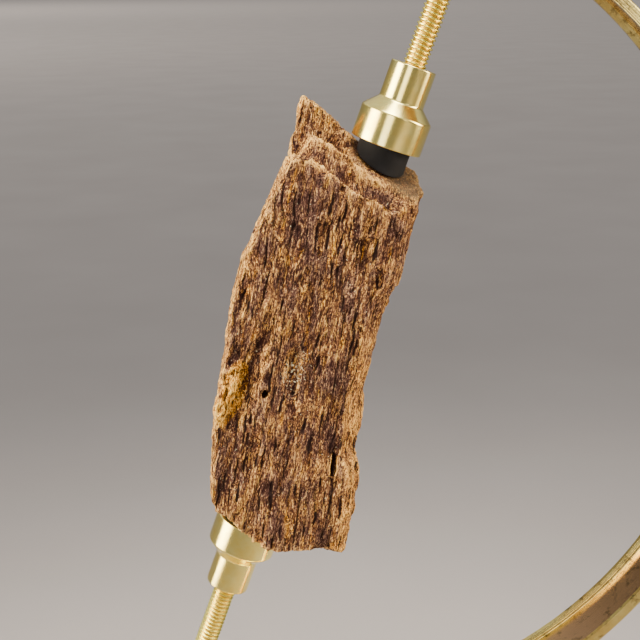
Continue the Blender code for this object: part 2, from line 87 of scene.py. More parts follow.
upright = {"center": (0.0, 0.0, 0.0), "axis": (0.0, 0.0, 1.0)}  # what a lathe turns round
toolValues = {
    "weld": 0.001,  # mm; nearer vertices are merged
    "smoothAngle": 40.0,  # degrees
    "faceWeight": 60,  # how much large faces rule the shading
}


def clearSelection():
    if bpy.context.object and bpy.context.object.mode != "OBJECT":
        bpy.ops.object.mode_set(mode="OBJECT")
    bpy.ops.object.select_all(action="DESELECT")


def pickUp(piece):
    clearSelection()
    bpy.context.view_layer.objects.active = piece
    piece.select_set(True)


def selectAll():
    bpy.ops.mesh.select_all(action="SELECT")


def startEditing(piece, mode="VERT"):
    # edit mode, with everything selected
    pickUp(piece)
    bpy.ops.object.mode_set(mode="EDIT")
    bpy.ops.mesh.select_mode(type=mode)
    selectAll()


def stopEditing():
    bpy.ops.object.mode_set(mode="OBJECT")


def weldPoints(distance=toolValues["weld"]):
    selectAll()
    bpy.ops.mesh.remove_doubles(threshold=distance * mm)
    selectAll()


def finishMesh():
    # every face looks outwards
    selectAll()
    bpy.ops.mesh.normals_make_consistent(inside=False)
    stopEditing()


def selectFaces(piece, wanted):
    # wanted gets each face's centre and normal, in metres
    cage = bmesh.from_edit_mesh(piece.data)
    for face in cage.faces:
        face.select_set(wanted(face.calc_center_median(), face.normal))
    cage.select_flush_mode()
    bmesh.update_edit_mesh(piece.data)


def applyModifier(piece, kind, **settings):
    pickUp(piece)
    modifier = piece.modifiers.new(kind.title(), kind)
    for name, value in settings.items():
        setattr(modifier, name, value)
    bpy.ops.object.modifier_apply(modifier=modifier.name)


def settle(piece, place):
    # puts the place in the mesh and leaves the object at the origin
    piece.matrix_world = place
    pickUp(piece)
    bpy.ops.object.transform_apply(location=True, rotation=True, scale=True)


def carve(piece, cutter):
    applyModifier(piece, "BOOLEAN", operation="DIFFERENCE", solver="EXACT", object=cutter)
    bpy.data.objects.remove(cutter, do_unlink=True)


def drawLine(name, points, closed=False):
    # one vertex, extruded from point to point, (x, y, z) in mm
    clearSelection()
    bpy.ops.mesh.primitive_plane_add(size=mm, location=(0.0, 0.0, 0.0))
    piece = bpy.context.object
    piece.name = name
    startEditing(piece)
    bpy.ops.mesh.merge(type="CENTER")
    selectAll()
    here = Vector(points[0]) * mm
    bpy.ops.transform.translate(value=here)
    for point in points[1:]:
        there = Vector(point) * mm
        bpy.ops.mesh.extrude_vertices_move(TRANSFORM_OT_translate={"value": there - here})
        here = there
    if closed:
        selectAll()
        bpy.ops.mesh.edge_face_add()
    stopEditing()
    return piece


def latheTurn(name, profile, steps=96):
    # profile is (radius, height) in mm, from axis to axis or round a bore
    bored = min(radius for radius, height in profile) > 0.0
    line = [(radius, 0.0, height) for radius, height in profile]
    piece = drawLine(name, line + line[:1] if bored else line)
    startEditing(piece)
    weldPoints()
    bpy.ops.mesh.spin(steps=steps, angle=2.0 * math.pi, **upright)
    weldPoints()
    finishMesh()
    return piece


def addCylinder(name, radius, low, high, steps=96):
    clearSelection()
    bpy.ops.mesh.primitive_cylinder_add(vertices=steps, radius=radius * mm, depth=(high - low) * mm,
                                        location=(0.0, 0.0, 0.5 * (low + high) * mm))
    piece = bpy.context.object
    piece.name = name
    settle(piece, piece.matrix_world.copy())
    return piece


def roundEdges(piece, width, segments=3, angle=28.0):
    applyModifier(piece, "BEVEL", width=width * mm, segments=segments, limit_method="ANGLE",
                  angle_limit=math.radians(angle), use_clamp_overlap=True, miter_outer="MITER_ARC")
    startEditing(piece)
    weldPoints()
    stopEditing()
    bpy.ops.object.shade_smooth_by_angle(angle=math.radians(toolValues["smoothAngle"]))
    applyModifier(piece, "WEIGHTED_NORMAL", keep_sharp=True, weight=toolValues["faceWeight"])


def linearColour(hexText):
    shares = [int(hexText[start:start + 2], 16) / 255.0 for start in (1, 3, 5)]
    return [share / 12.92 if share <= 0.04045 else ((share + 0.055) / 1.055) ** 2.4
            for share in shares] + [1.0]


def connect(tree, source, socket):
    # a node stands for its first output
    tree.links.new(source.outputs[0] if isinstance(source, bpy.types.Node) else source, socket)


def addNode(tree, kind, settings=None, links=None):
    # settings name a property, an input or, for a ramp, its stops as (position, colour)
    node = tree.nodes.new("ShaderNode" + kind)
    for name, value in (settings or {}).items():
        if name == "stops":
            while len(node.color_ramp.elements) < len(value):
                node.color_ramp.elements.new(1.0)
            for element, (position, colour) in zip(node.color_ramp.elements, value):
                element.position = position
                element.color = linearColour(colour)
        elif isinstance(name, str) and hasattr(node, name):
            setattr(node, name, value)
        else:
            node.inputs[name].default_value = value
    for name, source in (links or {}).items():
        connect(tree, source, node.inputs[name])
    return node


def newMaterial(name, settings):
    material = bpy.data.materials.new(name)
    material.use_nodes = True
    tree = material.node_tree
    shader = tree.nodes["Principled BSDF"]
    for socket, value in settings.items():
        shader.inputs[socket].default_value = value
    return material, tree, shader


def plugIn(tree, shader, **sockets):
    names = {"colour": "Base Color", "roughness": "Roughness", "normal": "Normal"}
    for short, source in sockets.items():
        connect(tree, source, shader.inputs[names[short]])


def millimetresIn(tree, place):
    # Object coordinates in mm, in the frame of a place
    spot = addNode(tree, "TexCoord")
    shift, turn, _ = place.decompose()
    return addNode(tree, "Mapping",
                   {"vector_type": "TEXTURE", "Location": shift, "Rotation": turn.to_euler(),
                    "Scale": (mm, mm, mm)}, {"Vector": spot.outputs["Object"]})


def finishPiece(piece, material, body, slot, *nodes):
    piece.data.materials.clear()
    piece.data.materials.append(material)
    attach(piece, body)
    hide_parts(*nodes)


def distanceFrom(tree, first, second):
    # distance from the axis that these two coordinates leave out
    flat = addNode(tree, "CombineXYZ", {}, {0: first, 1: second})
    return addNode(tree, "VectorMath", {"operation": "LENGTH"}, {0: flat}).outputs["Value"]


def makeDullMaterial(name, values):
    # a dull non-metal: one noise tints it, another raises its grain, both in cells per metre
    material, tree, shader = newMaterial(name, values["shader"])
    spot = addNode(tree, "TexCoord").outputs["Object"]
    tint = addNode(tree, "TexNoise", values["tint"], {"Vector": spot})
    grain = addNode(tree, "TexNoise", values["grain"], {"Vector": spot})
    colour = addNode(tree, "ValToRGB", {"stops": values["colours"]}, {0: tint})
    bump = addNode(tree, "Bump", values["relief"], {"Height": grain})
    plugIn(tree, shader, colour=colour, normal=bump)
    return material


noiseSpan = {"From Min": 0.3, "From Max": 0.7}  # most of a noise lies between these
brassValues = {
    "colours": ((0.35, "#fff196"), (0.75, "#f4d468")),  # bright to tarnished
    "tarnish": {"Scale": 0.35, "Detail": 4.0, "Roughness": 0.6},  # cells per mm
    "roughness": {"To Min": 0.12, "To Max": 0.22},
    # tool marks per mm, drawn coarser than real ones
    "lathe": {"noise_dimensions": "1D", "Scale": 6.25, "Detail": 2.0},
    "rings": {"Strength": 0.25, "Distance": 0.01 * mm},
    "grit": {"Scale": 3.2, "Detail": 2.0},
    "skin": {"Strength": 0.10, "Distance": 0.02 * mm},
}


def makeTurnedBrass(name, place):
    # free-cutting brass, turned and left bright: fine rings round the axis, faint tarnish
    values = brassValues
    material, tree, shader = newMaterial(name, {"Metallic": 1.0})
    spot = millimetresIn(tree, place)
    parts = addNode(tree, "SeparateXYZ", {}, {0: spot})
    radius = distanceFrom(tree, parts.outputs[0], parts.outputs[1])
    along = addNode(tree, "Math", {"operation": "ADD"}, {0: radius, 1: parts.outputs[2]})
    rings = addNode(tree, "TexNoise", values["lathe"], {"W": along})
    tarnish = addNode(tree, "TexNoise", values["tarnish"], {"Vector": spot})
    grit = addNode(tree, "TexNoise", values["grit"], {"Vector": spot})
    colour = addNode(tree, "ValToRGB", {"stops": values["colours"]}, {0: tarnish})
    wear = addNode(tree, "MapRange", {**noiseSpan, **values["roughness"]}, {0: tarnish})
    marks = addNode(tree, "Bump", values["rings"], {"Height": rings})
    skin = addNode(tree, "Bump", values["skin"], {"Height": grit, "Normal": marks})
    plugIn(tree, shader, colour=colour, roughness=wear, normal=skin)
    return material


upperBrass = makeTurnedBrass("turnedBrassUpper", upperPlace)
lowerBrass = makeTurnedBrass("turnedBrassLower", lowerPlace)
standBrass = makeTurnedBrass("turnedBrassStand", Matrix.Identity(4))
print("turned brass made")

padValues = {  # mm; the seat is ground to this slope on the bone's top
    "radius": 4.6,
    "lowerFoot": -2.4,
    "seatSlope": (-0.16, 0.33),
    "seatHeight": 35.2,
    "spare": 4.0,  # how far below the seat the upper pad starts before it is cut
    "round": 0.25,
}
topLines = {  # mm, (x, height) of the broken top's three edges
    "ledge": ((-20, 29.5), (-16, 30.5), (-14.8, 32.4), (-11.8, 33.4), (-7.8, 31.9), (-3.3, 30.2),
              (3.1, 29.7), (9, 30.6)),
    "ridge": ((-20, 30.0), (-15.3, 32.0), (-14.2, 32.8), (-13.2, 36.6), (-6.9, 35.6), (-3.5, 34.1),
              (2.7, 32.0), (5.6, 30.6), (9, 29.6)),
    "rim": ((-20, 40.0), (-16.6, 41.4), (-14.3, 41.3), (-12.2, 40.4), (-9.2, 39.3), (-5.9, 37.7),
            (0, 35.9), (4.4, 34.2), (7.3, 32.2), (9, 30.5)),
}
topValues = {  # mm
    "lowest": 24.0,  # faces above this that look upwards are the top
    "upwards": 0.12,
    "cuts": 5,
    "ridgeAt": -6.6,  # y of the two steps
    "rimAt": 1.2,
    "stepWidth": 0.7,
    "wander": 0.9,  # how far a step strays forwards and back
    "wanderWaves": ((3.1, 1.0, 3.0), (0.9, 0.4, 8.0)),  # length, share, start of the noise
    "gutter": (1.1, -8.7, -8.1, 0.5),  # depth, y where its front slope starts and ends, back slope
    "valley": (1.9, 1.3, 2.6, 1.4),  # the same, its front slope counted from the ridge
    "back": (2.4, 5.5, 9.5),  # drop at the back, y where it starts and ends
    "splinter": 0.45,
    "splinterWaves": ((0.9, 1.0), (2.2, 5.0)),  # size, start of the noise
    "beside": (4.6, -0.4, 5.6),  # x, y and radius of the ground place beside the pad
    "seatEdge": 1.3,
}
boneValues = {  # mm; x, y and z are in the clamp frame
    "grainLean": 11.0,  # degrees from the clamp axis, top towards -X
    "weld": 0.002,
    "squash": 0.4,  # cells are this much finer across the grain than along it
    "cell": 0.215,
    "smoothing": {"factor": 0.5, "repeat": 3},
    "warps": ((9.0, 14.0, 0.9), (4.0, 6.0, 0.45), (1.7, 2.6, 0.20)),  # width, length, shift
    "strands": ((2.7, 17.0, 0.09), (1.0, 8.5, 0.10), (0.52, 4.2, 0.12)),  # width, length, height
    "strandShape": (0.5, 2.6),  # height and slope of a strand's crest
    "fibres": (0.34, 2.1, 0.16),
    "canals": (0.46, 6.0, 0.26),  # width, length, depth
    "canalRim": (0.30, 0.44),  # where in the noise a canal's wall starts and ends
    "chips": (2.3, 2.6, 0.45),  # small chips off the edges: width, length, depth
    "chipRim": (0.05, 0.30),
    "chipEdge": (0.0, 0.12),  # how sharp an edge has to be
    # starts that keep the noises unlike each other
    "starts": {"warp": 31.0, "across": 13.0, "strand": 11.0, "fibre": 5.0, "canal": 70.0, "chip": 17.0,
               "crack": 4.0},
    "edgeBlur": 34,  # smoothing passes that edges and hollows are measured against
    "edgeSpan": (0.5, -0.4),  # height of a full edge, and the deepest hollow stored
    "softened": ((-11.0, 31.0, 2.6), (-14.6, 6.0, 4.0)),  # x, z and reach of hollows to fill by half
    "seatRadius": 5.4,
    "seatFade": 1.0,  # from finished fibres to the flat under the pad
    # the ground facet fades in by its distance off the seat's plane, its x and its reach outside
    "facetGap": (1.0, 0.5),
    "facetAcross": (0.5, 2.5),
    "facetReach": (1.0, 0.0),
    "crust": ((-11.9, -10.4), (2.3, 6.2)),  # ochre crust's centre and half sizes on the front
    "crustRim": (1.15, 0.85),  # in half sizes
    "crustHeight": 0.15,
    "mineral": ((-2.8, -3.0), (2.4, 5.0)),  # pale mineral grains
    "mineralRim": (1.2, 0.2),
    "crack": ((7.9, -12.0), (9.4, -17.4), (10.7, -22.0), (12.2, -27.5)),  # (x, z) down the front
    "crackHalf": 0.4,
    "crackDepth": 0.5,
    "crackStray": (0.35, 1.7),  # how far it strays, over what length
    "crackDark": 0.8,
    "pits": (0.75, 0.32),  # width and depth of the crust's pits
    "pitSpan": (0.35, -0.4),  # the noise of a full pit, and the highest bump between pits
    "pitRim": (0.5, 1.0),
    "pitDark": 0.7,
    "lipKept": (1.5, 3.5),  # below the ledge by this much, canals start
    # tan on the top and on faces turned to the sides: partly paler broken bone, partly painted light from
    # above and from both sides
    "freshAndLitTop": (0.4, 1.8),  # above the ledge
    "freshAndLitSide": (0.25, 0.65),  # how far a face turns to the side
    "freshAndLitRight": (3.0, 0.0),  # on the right only below this
    "topShare": 0.55,
    "groundOff": 0.5,  # share of the relief that the facet has lost
    "sink": 0.06,  # keeps the crests near the solid's faces
    # how far a face has to turn to the front, and for flat how far up or down
    "turned": {"softened": -0.3, "crack": 0.1, "crust": 0.2, "mineral": 0.0, "flat": 0.5},
}
grainPlace = clampPlace @ Matrix.Rotation(-math.radians(boneValues["grainLean"]), 4, "Y")


def smoothStep(value, start, end):
    share = min(1.0, max(0.0, (value - start) / (end - start)))
    return share * share * (3.0 - 2.0 * share)


def ramp(values, start, end):
    # 0 up to the start and 1 from the end on
    return np.clip((values - start) / (end - start), 0.0, 1.0)


def readVectors(mesh, name):
    values = np.empty(len(mesh.vertices) * 3)
    mesh.vertices.foreach_get(name, values)
    return values.reshape(-1, 3)


def storeValue(mesh, name, values):
    attribute = mesh.attributes.new(name, "FLOAT", "POINT")
    attribute.data.foreach_set("value", np.asarray(values, np.float32))


def blurredPlaces(mesh, places, passes):
    # each pass moves every vertex to the middle of its neighbours
    ends = np.empty(len(mesh.edges) * 2, np.int64)
    mesh.edges.foreach_get("vertices", ends)
    ends = ends.reshape(-1, 2)
    start = np.concatenate((ends[:, 0], ends[:, 1]))
    end = np.concatenate((ends[:, 1], ends[:, 0]))
    count = np.bincount(start, minlength=len(places))
    for _ in range(passes):
        places = np.stack([np.bincount(start, places[end, axis], len(places)) / count
                           for axis in range(3)], axis=1)
    return places


def groundReach(x, y):
    # how far outside the ground facet a place on the top is: a disc under the pad and one beside it
    besideX, besideY, besideRadius = topValues["beside"]
    return np.minimum(np.hypot(x, y) - boneValues["seatRadius"],
                      np.hypot(x - besideX, y - besideY) - besideRadius)


def seatAt(x, y):
    slopeX, slopeY = padValues["seatSlope"]
    return padValues["seatHeight"] + slopeX * x + slopeY * y


def brokenTop(x, y):
    # height in mm of the splintered top, which steps up twice from the front, round the ground seat
    values = topValues
    ledge, ridge, rim = [np.interp(x, *zip(*topLines[name])) for name in ("ledge", "ridge", "rim")]
    stray = values["wander"] * sum(share * noise.noise((x / length, 0.0, start))
                                   for length, share, start in values["wanderWaves"])
    half = 0.5 * values["stepWidth"]
    first = values["ridgeAt"] + stray
    second = values["rimAt"] - stray
    height = (ledge + (ridge - ledge) * smoothStep(y, first - half, first + half)
              + (rim - ridge) * smoothStep(y, second - half, second + half))
    depth, start, end, slope = values["gutter"]
    behind = first - half
    height -= depth * smoothStep(y, start, end) * (1.0 - smoothStep(y, behind - slope, behind))
    depth, start, end, slope = values["valley"]
    height -= (depth * smoothStep(y, first + start, first + end)
               * (1.0 - smoothStep(y, second - slope, second)))
    drop, start, end = values["back"]
    height -= drop * smoothStep(y, start, end)
    height += values["splinter"] * sum(noise.noise((x / size, y / size, start))
                                       for size, start in values["splinterWaves"])
    ground = 1.0 - smoothStep(groundReach(x, y), 0.0, values["seatEdge"])
    return height + (seatAt(x, y) - height) * ground


def breakTop(piece):
    values = topValues
    startEditing(piece, "FACE")
    selectFaces(piece, lambda centre, normal: (normal.z > values["upwards"]
                                               and centre.z > values["lowest"] * mm))
    bpy.ops.mesh.subdivide(number_cuts=values["cuts"])
    cage = bmesh.from_edit_mesh(piece.data)
    for vert in cage.verts:
        if vert.select:
            vert.co.z = brokenTop(vert.co.x / mm, vert.co.y / mm) * mm
    bmesh.update_edit_mesh(piece.data)
    stopEditing()


def makeBone():
    values = boneValues
    piece = bpy.data.objects.new("boneFragment", frame["nodes"]["fossil_bone"].data.copy())
    bpy.context.scene.collection.objects.link(piece)
    startEditing(piece)
    weldPoints(values["weld"])
    stopEditing()
    settle(piece, clampPlace.inverted())
    breakTop(piece)
    settle(piece, grainPlace.inverted() @ clampPlace)
    settle(piece, Matrix.Diagonal((1.0, 1.0, values["squash"], 1.0)))
    applyModifier(piece, "REMESH", mode="VOXEL", voxel_size=values["cell"] * mm)
    startEditing(piece)
    bpy.ops.mesh.vertices_smooth(**values["smoothing"])
    stopEditing()
    settle(piece, Matrix.Diagonal((1.0, 1.0, 1.0 / values["squash"], 1.0)))
    print("bone remeshed:", len(piece.data.polygons), "faces")
    carveFibres(piece)
    settle(piece, grainPlace)
    pickUp(piece)
    bpy.ops.object.shade_smooth()
    return piece


def fibreRelief(place):
    # height in mm of the strands, and how deep in a canal, at a place in the grain frame in mm
    values = boneValues
    starts = values["starts"]
    x, y, z = place
    for index, (width, length, shift) in enumerate(values["warps"]):
        start = starts["warp"] * index
        x, y = (x + shift * noise.noise((x / width, y / width, z / length + start)),
                y + shift * noise.noise((x / width, y / width, z / length + start + starts["across"])))
    height = 0.0
    middle, slope = values["strandShape"]
    for index, (width, length, high) in enumerate(values["strands"]):
        bundle = noise.noise((x / width + starts["strand"] * index, y / width, z / length))
        height += high * (middle - slope * abs(bundle))
    width, length, high = values["fibres"]
    height += high * noise.noise((x / width, y / width + starts["fibre"], z / length))
    width, length, depth = values["canals"]
    canal = noise.noise((x / width + starts["canal"], y / width, z / length))
    canal = smoothStep(canal, *values["canalRim"])
    return height - depth * canal, canal


def spotShare(seen, spot, rim):
    # 1 inside a long spot on the front, 0 outside, fading across its rim
    (x, z), (halfX, halfZ) = spot
    return ramp(np.hypot((seen[:, 0] - x) / halfX, (seen[:, 2] - z) / halfZ), *rim)


def crackShare(seen, frontal):
    values = boneValues
    reach, length = values["crackStray"]
    line = sorted((z, x) for x, z in values["crack"])
    stray = np.array([reach * noise.noise((0.0, values["starts"]["crack"], z / length))
                      for z in seen[:, 2]])
    gap = np.abs(seen[:, 0] - np.interp(seen[:, 2], *zip(*line)) - stray)
    along = np.minimum(seen[:, 2] - line[0][0], line[-1][0] - seen[:, 2])
    onFront = frontal > values["turned"]["crack"]
    return ramp(gap, values["crackHalf"], 0.0) * ramp(along, 0.0, 1.0) * onFront


def carveFibres(piece):
    values = boneValues
    mesh = piece.data
    places = readVectors(mesh, "co") / mm
    normals = readVectors(mesh, "normal")
    toClamp = np.array((clampPlace.inverted() @ grainPlace).to_3x3())
    seen = places @ toClamp.T
    facing = normals @ toClamp.T
    frontal = -facing[:, 1]
    turned = values["turned"]
    blurred = blurredPlaces(mesh, places, values["edgeBlur"])
    edge = np.sum((places - blurred) * normals, axis=1)
    relief, canal = np.array([fibreRelief(place) for place in places]).T
    width, length, depth = values["chips"]
    start = values["starts"]["chip"]
    chips = np.array([noise.noise((x / width, y / width + start, z / length)) for x, y, z in places])
    relief -= depth * ramp(chips, *values["chipRim"]) * ramp(edge, *values["chipEdge"])
    for x, z, reach in values["softened"]:
        away = ((seen[:, 0] - x) ** 2 + (seen[:, 2] - z) ** 2) / reach ** 2
        places += (blurred - places) * (np.exp(-away) * (frontal > turned["softened"]))[:, None]

    crack = crackShare(seen, frontal)
    relief -= values["crackDepth"] * crack
    canal = np.maximum(canal, values["crackDark"] * crack)

    crust = spotShare(seen, values["crust"], values["crustRim"]) * (frontal > turned["crust"])
    width, depth = values["pits"]
    full, bump = values["pitSpan"]
    pits = np.array([noise.noise((x / width, y / width, z / width)) for x, y, z in places])
    pits = crust * np.clip(pits / full, bump, 1.0)
    relief += crust * values["crustHeight"] - depth * pits
    canal = np.maximum(canal * (1.0 - crust), values["pitDark"] * ramp(pits, *values["pitRim"]))

    # no canals through the top's edges, and no fibres under the pad
    ledge = np.interp(seen[:, 0], *zip(*topLines["ledge"]))
    below = ramp(ledge - seen[:, 2], *values["lipKept"])
    relief += values["canals"][2] * canal * (1.0 - below)
    canal *= below
    seatEnd = values["seatRadius"]
    underPad = (ramp(np.hypot(seen[:, 0], seen[:, 1]), seatEnd + values["seatFade"], seatEnd)
                * (np.abs(facing[:, 2]) > turned["flat"]))
    offSeat = np.abs(seen[:, 2] - seatAt(seen[:, 0], seen[:, 1]))
    facet = (ramp(offSeat, *values["facetGap"]) * ramp(seen[:, 0], *values["facetAcross"])
             * ramp(groundReach(seen[:, 0], seen[:, 1]), *values["facetReach"]))
    keep = (1.0 - underPad) * (1.0 - values["groundOff"] * facet)
    places += normals * (relief * keep - values["sink"])[:, None]
    mesh.vertices.foreach_set("co", (places * mm).ravel())
    mesh.update()

    # faces turned up or sideways get the tan: partly paler broken bone, partly painted top light and side
    # light
    onTop = ramp(seen[:, 2] - ledge, *values["freshAndLitTop"])
    onLeft = ramp(-facing[:, 0], *values["freshAndLitSide"])
    onRight = ramp(facing[:, 0], *values["freshAndLitSide"]) * ramp(seen[:, 2], *values["freshAndLitRight"])
    onSide = np.maximum(onLeft, onRight)
    full, hollow = values["edgeSpan"]
    storeValue(mesh, "relief", relief)
    storeValue(mesh, "canal", canal * keep)
    # edge later lightens convex places and darkens hollows in the bone's colour, painted highlight and
    # painted shade; the same measure also places the chips
    storeValue(mesh, "edge", np.clip(edge / full, hollow, 1.0))
    storeValue(mesh, "crust", crust)
    storeValue(mesh, "fresh", np.maximum(onSide, values["topShare"] * onTop) * (1.0 - underPad))
    mineral = spotShare(seen, values["mineral"], values["mineralRim"])
    storeValue(mesh, "mineral", mineral * (frontal > turned["mineral"]))
    storeValue(mesh, "facet", facet)
    print("fibres carved")


boneLook = {
    "shader": {"Roughness": 0.7, "IOR": 1.5, "Specular IOR Level": 0.22},
    # from dark hollow to bright crest
    "brown": ((0.10, "#2f1004"), (0.27, "#4e2b14"), (0.45, "#754a2c"), (0.60, "#9c6d42"),
              (0.74, "#d2964c"), (0.90, "#f8c666")),
    "plum": ((0.10, "#2a0d06"), (0.30, "#43261b"), (0.50, "#644437"), (0.72, "#967056"),
             (0.92, "#dcac70")),
    "tan": ((0.18, "#2c1405"), (0.33, "#5c3619"), (0.47, "#9a6432"), (0.61, "#d8963f"),
            (0.80, "#ffca66")),
    "ochre": ((0.20, "#3c1f06"), (0.36, "#8c5410"), (0.50, "#cc841a"), (0.66, "#f2ae34"),
              (0.86, "#ffd876")),
    "facet": "#54452f",
    "pit": "#200a03",
    "speck": "#e8dfb8",
    "waves": ((0.22, 2.4), (0.8, 0.7)),  # cells per mm, sideways shift in mm
    "waveStretch": 0.3,
    # scale along the grain against across it, then cells per mm, detail and roughness
    "noises": {
        "strands": (0.15, 2.6, 2.0, 0.85),
        "flecks": (0.33, 5.0, 1.0, 0.8),
        "patches": (1.0, 0.16, 4.0, 0.6),
        "grains": (1.0, 3.4, 2.0, 0.7),
        "tints": (0.15, 0.9, 4.0, 0.65),
        "specks": (1.0, 2.6, 2.0, 0.5),
    },
    "threads": ((1.25, 0.18), (1.05, -0.19), (2.4, 0.34), (2.1, -0.34)),  # cells per mm, weight
    "threadStretch": 0.10,
    "threadApart": 40.0,  # between the places where the threads' noises are read
    "threadNoise": {"Detail": 2.0, "Roughness": 0.6},
    "threadHalf": 0.038,  # of the noise's range
    # the level from hollow to crest is the base and these weights of the noises and marks
    "base": -1.573,
    "weights": {"strands": 1.1, "flecks": 1.5, "grains": 0.75, "patches": 0.6},
    # relief and edge make the hollows darker and the crests and edges lighter: painted shade and painted
    # highlight; the mark for tops and sides lightens those faces, partly painted light
    "markWeights": {"relief": 0.31, "edge": 0.30, "fresh": 0.10},
    # weight of the second part, then where the share starts, is full, and how much that is
    "plumShare": (-0.7, 0.10, 0.26, 1.0),
    "crustShare": (1.6, 1.05, 1.25, 1.0),
    # tan on the sides, the top and convex edges: partly paler broken bone, partly painted light
    "tanShare": (0.5, 0.2, 1.1, 0.75),
    "speckShare": (0.15, 0.70, 0.76, 0.85),
    "ochreShare": {"From Min": 0.40, "From Max": 0.34},
    "grit": {"From Min": 0.42, "From Max": 0.58, "To Min": 0.3},
    "fleckHeight": 0.6,  # against the strands
    "relief": {"Strength": 1.0, "Distance": 0.35 * mm},
    "roughness": {"To Min": 0.85, "To Max": 0.55},  # from hollow to crest
}


def stretched(tree, place, along):
    return addNode(tree, "VectorMath", {"operation": "MULTIPLY", 1: (1.0, 1.0, along)}, {0: place})


def wanderingPlace(tree, place):
    # fibres wander: two sizes of waviness before the noise is stretched along the grain
    for scale, shift in boneLook["waves"]:
        slow = stretched(tree, place, boneLook["waveStretch"])
        wave = addNode(tree, "TexNoise", {"Scale": scale, "Detail": 1.0}, {"Vector": slow})
        centred = addNode(tree, "VectorMath", {"operation": "SUBTRACT", 1: (0.5, 0.5, 0.5)},
                          {0: wave.outputs["Color"]})
        place = addNode(tree, "VectorMath", {"operation": "MULTIPLY_ADD", 1: (shift, shift, 0.0)},
                        {0: centred, 2: place})
    return place


def makeThreads(tree, place):
    # thin lines where a stretched noise passes through its middle, with the weight of each
    values = boneLook
    drawn = stretched(tree, place, values["threadStretch"])
    threads = []
    for index, (scale, weight) in enumerate(values["threads"]):
        moved = addNode(tree, "VectorMath",
                        {"operation": "ADD", 1: (values["threadApart"] * index, 0.0, 0.0)}, {0: drawn})
        soft = addNode(tree, "TexNoise", {"Scale": scale, **values["threadNoise"]}, {"Vector": moved})
        middle = addNode(tree, "Math", {"operation": "SUBTRACT", 1: 0.5}, {0: soft})
        size = addNode(tree, "Math", {"operation": "ABSOLUTE"}, {0: middle})
        line = addNode(tree, "MapRange", {"From Min": values["threadHalf"], "From Max": 0.0}, {0: size})
        threads.append((line, weight))
    return threads


def shareOf(tree, first, second, weight, start, end, most):
    # how much of a colour shows, from the sum of the first part and the weighted second
    total = addNode(tree, "Math", {"operation": "MULTIPLY_ADD", 1: weight}, {0: second, 2: first})
    return addNode(tree, "MapRange", {"From Min": start, "From Max": end, "To Max": most}, {0: total})


def makeBoneMaterial():
    # mineralised bone broken along its fibres: brown and plum, ochre crust, dark pits, and tan on crests,
    # sides and top that is partly paler broken bone, partly painted light
    values = boneLook
    material, tree, shader = newMaterial("fossilBone", values["shader"])
    marks = {}
    for name in ("relief", "canal", "edge", "crust", "fresh", "facet", "mineral"):
        marks[name] = addNode(tree, "Attribute", {"attribute_name": name}).outputs["Fac"]
    place = wanderingPlace(tree, millimetresIn(tree, grainPlace))
    noises = {}
    for name, (stretch, scale, detail, roughness) in values["noises"].items():
        settings = {"Scale": scale, "Detail": detail, "Roughness": roughness}
        noises[name] = addNode(tree, "TexNoise", settings, {"Vector": stretched(tree, place, stretch)})

    parts = [(noises[name], weight) for name, weight in values["weights"].items()]
    parts += makeThreads(tree, place)
    parts += [(marks[name], weight) for name, weight in values["markWeights"].items()]
    level = None
    for part, weight in parts:
        level = addNode(tree, "Math", {"operation": "MULTIPLY_ADD", 1: weight, 2: values["base"]},
                        {0: part, **({2: level} if level else {})})

    layers = {name: addNode(tree, "ValToRGB", {"stops": values[name]}, {0: level})
              for name in ("brown", "plum", "tan", "ochre")}
    plumShare = shareOf(tree, noises["tints"], noises["patches"], *values["plumShare"])
    tanShare = shareOf(tree, marks["fresh"], marks["edge"], *values["tanShare"])
    crustShare = shareOf(tree, noises["grains"], marks["crust"], *values["crustShare"])
    ochreShare = addNode(tree, "MapRange", values["ochreShare"], {0: noises["tints"]})
    anyOchre = addNode(tree, "Math", {"operation": "MAXIMUM"}, {0: ochreShare, 1: crustShare})
    colour = layers["brown"]
    for share, name in ((plumShare, "plum"), (tanShare, "tan"), (anyOchre, "ochre")):
        mixed = addNode(tree, "Mix", {"data_type": "RGBA"}, {0: share, 6: colour, 7: layers[name]})
        colour = mixed.outputs[2]

    speckShare = shareOf(tree, noises["specks"], marks["mineral"], *values["speckShare"])
    gritty = addNode(tree, "MapRange", values["grit"], {0: noises["grains"]})
    facetShare = addNode(tree, "Math", {"operation": "MULTIPLY"}, {0: marks["facet"], 1: gritty})
    for share, name in ((speckShare, "speck"), (facetShare, "facet"), (marks["canal"], "pit")):
        mixed = addNode(tree, "Mix", {"data_type": "RGBA", 7: linearColour(values[name])},
                        {0: share, 6: colour})
        colour = mixed.outputs[2]
    grain = addNode(tree, "Math", {"operation": "MULTIPLY_ADD", 1: values["fleckHeight"]},
                    {0: noises["flecks"], 2: noises["strands"]})
    bump = addNode(tree, "Bump", values["relief"], {"Height": grain})
    dull = addNode(tree, "MapRange", values["roughness"], {0: level})
    plugIn(tree, shader, colour=colour, roughness=dull, normal=bump)
    return material


bone = makeBone()
finishPiece(bone, makeBoneMaterial(), "stand", "fossil_bone", "fossil_bone")
print("bone finished")

screwValues = {  # mm
    "radius": 2.085,  # number 8 thread
    "root": 1.69,
    "pitch": 0.794,
    "crestFlat": 0.18,  # of the pitch
    "rootFlat": 0.14,
    "start": 4.9,
    "end": 65.4,
    "steps": 32,  # in a turn
    "spareTurns": 2,  # cut off at the ends
    "lead": 1.5,  # turns before the start
    "weld": 0.002,
    "smoothAngle": 25.0,  # degrees
    "colours": ((0.1, "#cca440"), (0.45, "#f6d860"), (0.9, "#fff280")),  # root to crest
    # a noise mottle added to the depth from the axis before the colour is read
    "mottle": {"Scale": 1.5, "Detail": 3.0},  # cells per mm
    "mottleShare": 0.4,
    "roughness": {"To Min": 0.42, "To Max": 0.26},
}


